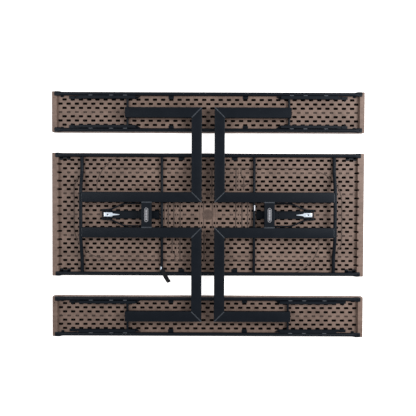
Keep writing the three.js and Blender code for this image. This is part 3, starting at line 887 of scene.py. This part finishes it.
# Rails, with their screw tabs: x, width, reach
seat_rail = pressed_rail("seat_rail", 0.899, [(s * 0.218, 0.031, 0.016) for s in (-1, 1)]
                         + [(s * 0.858, 0.018, 0.008) for s in (-1, 1)])
table_rail = pressed_rail("table_rail", 0.894, [tab for s in (-1, 1) for tab in (
    (s * 0.157, 0.034, 0.016), (s * 0.842, 0.064, 0.009), (s * 0.820, 0.019, 0.017),
    (s * 0.864, 0.019, 0.017))])
for row, y in ROWS.items():
    for edge, out in EDGES.items():
        centre = y * (SEAT_Y + out * SEAT_RAIL_Y)
        made = mirror_copy(seat_rail, f"{row}_seat_{edge}_rail_tube", 1, y * out, centre)
        made.data.transform(Matrix.Translation((0, 0, RAIL_Z)))
        smooth(made)
        finished(made, COAT, "powder_coat", f"{row}_bench", f"{row}_seat_{edge}_rail")
    made = mirror_copy(table_rail, f"{row}_table_rail_tube", 1, y, y * TABLE_RAIL_Y)
    made.data.transform(Matrix.Translation((0, 0, RAIL_Z)))
    smooth(made)
    finished(made, COAT, "powder_coat", "table", f"{row}_table_rail")
for spare in (seat_rail, table_rail):
    bpy.data.objects.remove(spare)

# Leg frames
quarter = {
    "table_leg": leg_beam("right_rear_table_leg",
                          [((FLOOR_RAIL_X + MITRE_GAP, LEG_Y), (1, -1), "clear_inner")], True),
    "floor_rail": leg_beam("right_rear_floor_rail",
                           [((FLOOR_RAIL_X, LEG_Y + MITRE_GAP), (-1, 1), "clear_inner"),
                            ((FLOOR_RAIL_X, CORNER_Y - MITRE_GAP), (1, 1), "clear_outer")]),
    "bench_leg": leg_beam("right_rear_bench_leg",
                          [((FLOOR_RAIL_X + MITRE_GAP, CORNER_Y), (1, 1), "clear_inner")], True),
}
welds = joined([
    bead(FLOOR_RAIL_X + 0.003, LEG_Y + 0.003, WELD_Z, 0.080, 45),
    bead(FLOOR_RAIL_X + 0.003, CORNER_Y - 0.003, WELD_Z, 0.080, -45),
    bead(0.328, LEG_Y, WELD_Z, 0.058, 0, 0.0095),
    bead(0.7305, LEG_Y + 0.004, 0.0765, 0.052, 90, 0.009, 0.005),
], "frame_welds")
for side, x in SIDES.items():
    for row, y in ROWS.items():
        for part, made in quarter.items():
            beam = mirror_copy(made, f"{side}_{row}_{part}_tube", x, y)
            smooth(beam)
            finished(beam, COAT, "powder_coat", f"{side}_leg", f"{side}_{row}_{part}")
        run = mirror_copy(welds, f"{side}_{row}_frame_welds", x, y)
        smooth(run, 60)
        finished(run, WELD, "powder_coat", f"{side}_leg")
for spare in (*quarter.values(), welds):
    bpy.data.objects.remove(spare)


# Cross tubes, pivot tubes and wishbone rods
def pivot_tube():
    """Cranked tube, lifted in its middle to the height of the legs."""
    made = cylinder(0.010, -0.3339, 0.3339, PIVOT_X, 0, RAIL_Z, along="y")
    bends = {0.263: 0, 0.258: 0.012, 0.252: 0.04, 0.246: 0.083,  # y: how far lifted
             0.154: 0.917, 0.148: 0.96, 0.142: 0.988, 0.137: 1}
    with editing(made):
        for y in bends:
            for side in (-1, 1):
                cut((0, side * y, 0), (0, 1, 0))
        for y, lift in bends.items():
            pick("VERT", lambda v: near(abs(v.co.y), y))
            shift(z=lift * (LEG_TOP + LEG_BOTTOM - 2 * RAIL_Z) / 2)
    return made


def wishbone_rod():
    """One bent rod between the arm's two sides, round the bridge's lugs."""
    bend = 0.018
    eye_x, eye_r = 0.61992, 0.0065
    side = [Vector(p) for p in ((eye_x, 0.0283, RAIL_Z), (0.576, 0.0283, 0.0409),
                                (0.490, 0.066, 0.0466), (0.355, 0.066, 0.0486))]
    route = side + [Vector((p.x, -p.y, p.z)) for p in reversed(side)]
    knots = [(route[0], route[0], route[1])]
    for before, corner, after in zip(route, route[1:], route[2:]):
        into, out = (corner - before).normalized() * bend, (after - corner).normalized() * bend
        knots.append((corner - into, corner - into * 1.3, corner - into * 0.45))
        knots.append((corner + out, corner + out * 0.45, corner + out * 1.3))
    knots.append((route[-1], route[-2], route[-1]))
    bpy.ops.curve.primitive_bezier_curve_add()
    made = bpy.context.object
    spline = made.data.splines[0]
    spline.bezier_points.add(len(knots) - 2)
    for point, (place, left, right) in zip(spline.bezier_points, knots):
        point.handle_left_type = point.handle_right_type = "FREE"
        point.co, point.handle_left, point.handle_right = place, left, right
    made.data.dimensions = "3D"
    made.data.resolution_u = 6
    made.data.bevel_depth = 0.0045
    made.data.bevel_resolution = 4
    made.data.use_fill_caps = True
    only(made)
    bpy.ops.object.convert(target="MESH")
    made = settle(bpy.context.object)
    eyes = [cylinder(eye_r, *sorted((s * 0.0237, s * 0.0293)), eye_x, 0, RAIL_Z, along="y") for s in (-1, 1)]
    return joined([made, *eyes], "wishbone")


inner_cross = cylinder(0.008, -0.3366, 0.3366, INNER_CROSS_X, 0, RAIL_Z, along="y")
pivot, rod = pivot_tube(), wishbone_rod()
for side, x in SIDES.items():
    for made, name, body, node in (
            (inner_cross, "inner_cross_rod", "table", "inner_cross_tube"),
            (pivot, "pivot_rod", f"{side}_leg", "pivot_tube"),
            (rod, "wishbone_rod", f"{side}_wishbone", "wishbone")):
        part = mirror_copy(made, f"{side}_{name}", x)
        smooth(part)
        finished(part, COAT, "powder_coat", body, f"{side}_{node}")
for spare in (inner_cross, pivot, rod):
    bpy.data.objects.remove(spare)


# Screws, rivets and clips
def fastener_set(name, body, places, radius=0.0042):
    """Black screws at their places on one body, as one piece."""
    made = joined([screw(x, y, z, radius) for x, y, z in places], name)
    smooth(made)
    return finished(made, COAT, "powder_coat", body)


def corners(x, y, z, middle_y=0):
    """The four places at plus and minus x and y."""
    return [(side * x, middle_y + s * y, z) for side in (-1, 1) for s in (-1, 1)]


for row, y in ROWS.items():
    fastener_set(f"{row}_bench_screws", f"{row}_bench", [place for x, dy, z in (
        (0.218, 0.0855, TAB_TOP), (0.858, 0.091, TAB_TOP), (0.801, 0.0695, SLAB),
        (0.785, 0.0855, TRACK_TAB_TOP)) for place in corners(x, dy, z, y * SEAT_Y)])
    fastener_set(f"{row}_bench_end_screws", f"{row}_bench",
                 corners(0.886, SEAT_RAIL_Y, RAIL_END_TOP, y * SEAT_Y), 0.0038)
fastener_set("table_screws", "table", [place for x in (0.157, 0.820, 0.864)
                                       for place in corners(x, TABLE_RAIL_Y - 0.0195, TAB_TOP)])
fastener_set("table_end_screws", "table", corners(0.884, TABLE_RAIL_Y, RAIL_END_TOP), 0.0038)
for side, x in SIDES.items():
    fastener_set(f"{side}_arm_rivets", f"{side}_arm", [(x * 0.419, s * 0.009, 0.0313) for s in (-1, 1)], 0.0035)


def half_sleeve(name, x, y0, y1, outward):
    """A sprung metal sleeve open on one side, hugging the inner cross tube."""
    made = cylinder(0.0093, y0, y1, x, 0, RAIL_Z, along="y", ends=0)
    with editing(made):
        pick("FACE", lambda f: len(f.verts) > 4)
        bpy.ops.mesh.delete(type="FACE")
        cut((x - outward * 0.001, 0, 0), (outward, 0, 0), clear_inner=True)
    modify(made, "SOLIDIFY", thickness=0.0011, offset=-1)
    made.name = name
    return made


clip = half_sleeve("right_cross_tube_clip", INNER_CROSS_X, 0.026, 0.058, 1)
smooth(clip)
finished(clip, FOIL, "zinc", "table")
ring = half_sleeve("left_cross_tube_ring", -INNER_CROSS_X, -0.330, -0.306, -1)
smooth(ring)
finished(ring, ZINC, "zinc", "table")


# Lock levers, badges, strap and stitch welds
def lock_lever():
    """Zinc plate with a finger hole, two lugs and a pointed tongue."""
    low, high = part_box("right_lock_lever")
    start, end, tip = high.x - 0.048, high.x, low.x
    made = plate(start, end, low.y, high.y, high.z - 0.002, high.z, soft=0)
    with editing(made):
        pick("FACE", lambda f: f.normal.x < -0.9)
        push(x=-0.004)
        stretch(1, 0.5, 1, (start, 0, high.z - 0.001))
        push(x=tip - start + 0.004)
        stretch(1, 0.22, 0.7, (tip, 0, high.z - 0.001))
        upright = lambda e: abs((e.verts[0].co - e.verts[1].co).normalized().z) > 0.9
        pick("EDGE", lambda e: upright(e) and middle(e).x > end - HAIR)
        bpy.ops.mesh.bevel(offset=0.004, segments=4, affect="EDGES")
    hole = cylinder(0.0045, -0.01, 0.01, end - 0.023, 0, high.z, ends=0)
    modify(made, "BOOLEAN", operation="DIFFERENCE", object=hole, solver="EXACT")
    bpy.data.objects.remove(hole)
    modify(made, "BEVEL", width=0.0004, segments=2, limit_method="ANGLE", angle_limit=0.8)
    lugs = [plate(end - 0.012, end, s * 0.012, s * 0.010, 0.033, high.z - 0.0005, soft=0.0006)
            for s in (-1, 1)]
    return joined([made, *lugs], "lock_lever")


def oval(x, z, radius, reach, height):
    """An upright oval solid: a round bar whose two halves are drawn apart along Y."""
    made = cylinder(radius, 0, height, x, 0, z, sides=32, ends=0)
    with editing(made):
        for s in (-1, 1):
            pick("VERT", lambda v: s * v.co.y > HAIR)
            shift(y=s * (reach - radius))
    return made


def badge_parts():
    """A dark oval plate, and its pale raised edge with a row of plain studs."""
    low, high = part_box("right_badge")
    x, reach, radius = (low.x + high.x) / 2, high.y, (high.x - low.x) / 2
    base = oval(x, low.z, radius, reach, high.z - low.z - 0.0003)
    studs = [plate(x - 0.0058, x + 0.0058, y - 0.0034, y + 0.0034, high.z - 0.0006, high.z, 0.0028, 0.0001)
             for y in (-0.027, -0.018, -0.009, 0, 0.009, 0.018, 0.027)]
    rim = oval(x, low.z, radius, reach, high.z - low.z)
    with editing(rim):
        pick("FACE", lambda f: len(f.verts) > 4)
        bpy.ops.mesh.inset(thickness=0.0021)
        bpy.ops.mesh.delete(type="FACE")
        pick("EDGE", lambda e: e.is_boundary)
        bpy.ops.mesh.bridge_edge_loops()
        bpy.ops.mesh.select_all(action="SELECT")
        bpy.ops.mesh.normals_make_consistent(inside=False)
    return base, joined([rim, *studs], "badge_relief")


def strap_tail():
    """Webbing from the inner cross tube over the table's rail and down beside it."""
    start, end = Vector((-0.269, -0.318)), Vector((-0.229, -0.403))
    run = (end - start).length
    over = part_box("storage_strap")[1].z - 0.0010
    heights = [(0, -0.0035), (0.2, -0.0006), (0.36, 0), (0.5, -0.0004),  # part of the run, drop
               (0.62, -0.004), (0.75, -0.013), (0.85, -0.022), (1, -0.037)]
    bpy.ops.mesh.primitive_grid_add(x_subdivisions=len(heights) - 1, y_subdivisions=6, size=1)
    made = bpy.context.object
    with editing(made):
        stretch(run, 0.0248)
        shift(x=run / 2)
        for i, (along, drop) in enumerate(heights):
            pick("VERT", lambda v: near(v.co.x, run * i / (len(heights) - 1), 1e-4) and near(v.co.z, 0, 1e-7))
            shift(z=over + drop)
        for i, (along, drop) in reversed(list(enumerate(heights))):
            pick("VERT", lambda v: near(v.co.z, over + drop, 1e-7))
            shift(x=run * (along - i / (len(heights) - 1)))
    modify(made, "SUBSURF", levels=2, render_levels=2)
    modify(made, "SOLIDIFY", thickness=0.0014, offset=0)
    modify(made, "BEVEL", width=0.0004, segments=2, limit_method="ANGLE")
    heading = math.atan2(end.y - start.y, end.x - start.x)
    made.data.transform(Matrix.Translation((start.x, start.y, 0)) @ Matrix.Rotation(heading, 4, "Z"))
    made.name = "storage_strap_webbing"
    return made, heading


stitches = joined([bead(x - 0.011, s * 0.0965, 0.0468, 0.022, 0, 0.006, 0.002)
                   for x in (0.489, 0.570, 0.690) for s in (-1, 1)], "stitches")
for row, y in ROWS.items():
    sets = [mirror_copy(stitches, f"{row}_{side}_track_stitches", x, 1, y * SEAT_Y)
            for side, x in SIDES.items()]
    part = joined(sets, f"{row}_track_stitches")
    smooth(part)
    finished(part, STITCH, "powder_coat", f"{row}_bench")
bpy.data.objects.remove(stitches)

lever = lock_lever()
base, relief = badge_parts()
for side, x in SIDES.items():
    part = mirror_copy(lever, f"{side}_lock_lever_plate", x)
    smooth(part)
    finished(part, ZINC, "zinc", f"{side}_lock", f"{side}_lock_lever")
    part = mirror_copy(base, f"{side}_badge_plate", x)
    finished(part, NYLON, "badge_foil", f"{side}_leg", f"{side}_badge")
    part = mirror_copy(relief, f"{side}_badge_relief", x)
    finished(part, FOIL, "badge_foil", f"{side}_leg")
for spare in (lever, base, relief):
    bpy.data.objects.remove(spare)
strap, strap_heading = strap_tail()
smooth(strap)
finished(strap, webbing_finish(strap_heading), "webbing", "table", "storage_strap")

# ---- CAD nodes that keep their shape ----
for name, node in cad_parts.items():
    if node.hide_render:
        continue
    for spot in node.material_slots:
        spot.material = NYLON if "glide" in name else COAT

# ---- Floor, light and camera ----
bpy.ops.mesh.primitive_plane_add(size=14, location=(0, 0, -0.0005))
floor = bpy.context.object
floor.name = "studio_floor"
floor.data.materials.append(floor_finish())

bpy.context.scene.view_settings.view_transform = "Standard"
world = bpy.data.worlds.new("studio")
bpy.context.scene.world = world
world.use_nodes = True
world.node_tree.nodes["Background"].inputs["Color"].default_value = (1, 1, 1, 1)
world.node_tree.nodes["Background"].inputs["Strength"].default_value = 0.45


def softbox(name, place, size, power):
    """A round lamp aimed at the middle of the floor."""
    bpy.ops.object.light_add(type="AREA", location=place)
    lamp = bpy.context.object
    lamp.name = name
    lamp.data.shape = "DISK"
    lamp.data.size = size
    lamp.data.energy = power
    lamp.rotation_euler = (-Vector(place)).to_track_quat("-Z", "Y").to_euler()


softbox("key_light", (2.6, 0.6, 2.3), 1.8, 98)
softbox("fill_light", (-2.4, 0.6, 2.6), 2.2, 46)

EYE = Vector((0, 0.096, 2.845))
AIM = Vector((0, 0.040, RIM_TOP))
ROLL = math.radians(0.2)
bpy.ops.object.camera_add(location=EYE)
camera = bpy.context.object
camera.name = "view_from_above"
camera.data.lens = 41.31
camera.rotation_euler = (math.atan2(AIM.y - EYE.y, EYE.z - AIM.z), 0, ROLL)
bpy.context.scene.camera = camera
